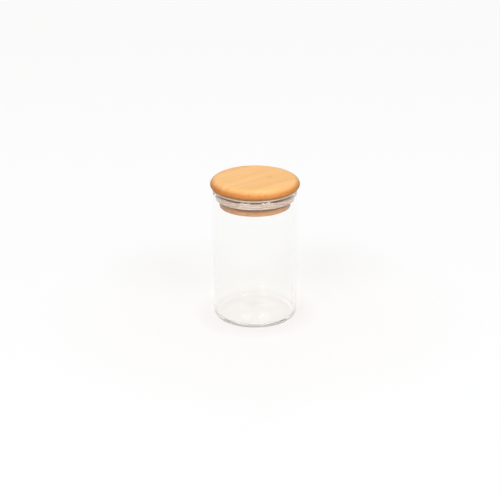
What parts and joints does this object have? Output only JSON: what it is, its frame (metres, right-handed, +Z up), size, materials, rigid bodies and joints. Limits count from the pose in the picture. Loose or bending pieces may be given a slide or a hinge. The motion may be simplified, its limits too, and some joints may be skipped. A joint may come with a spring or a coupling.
{
  "type": "glass spice jar",
  "caption": "Straight-walled clear glass storage jar with a push-in turned bamboo lid and a ribbed silicone seal ring.",
  "frame": {"origin": "centre of the jar's underside, on the surface that it stands on", "axes": "+Z up along the jar's axis, from the base to the lid; +X and +Y are free, because every piece is round"},
  "size_m": [0.0688, 0.0688, 0.1128],
  "materials": {
    "clear_glass": "clear, smooth, fire-polished rim",
    "bamboo": "satin oiled bamboo with fine fibre grain",
    "silicone": "translucent warm white silicone, matt"
  },
  "bodies": {
    "jar": {"glass_jar": "clear_glass"},
    "seal": {"silicone_seal": "silicone"},
    "lid": {"bamboo_lid": "bamboo"}
  },
  "joints": [
    {"name": "lid_lift", "type": "slide", "parent": "jar", "child": "seal", "axis": [0, 0, 1], "range_m": [0, 0.06]},
    {"name": "lid_turn", "type": "hinge", "parent": "seal", "child": "lid", "pos_m": [0, 0, 0.105], "axis": [0, 0, 1], "continuous": true}
  ]
}
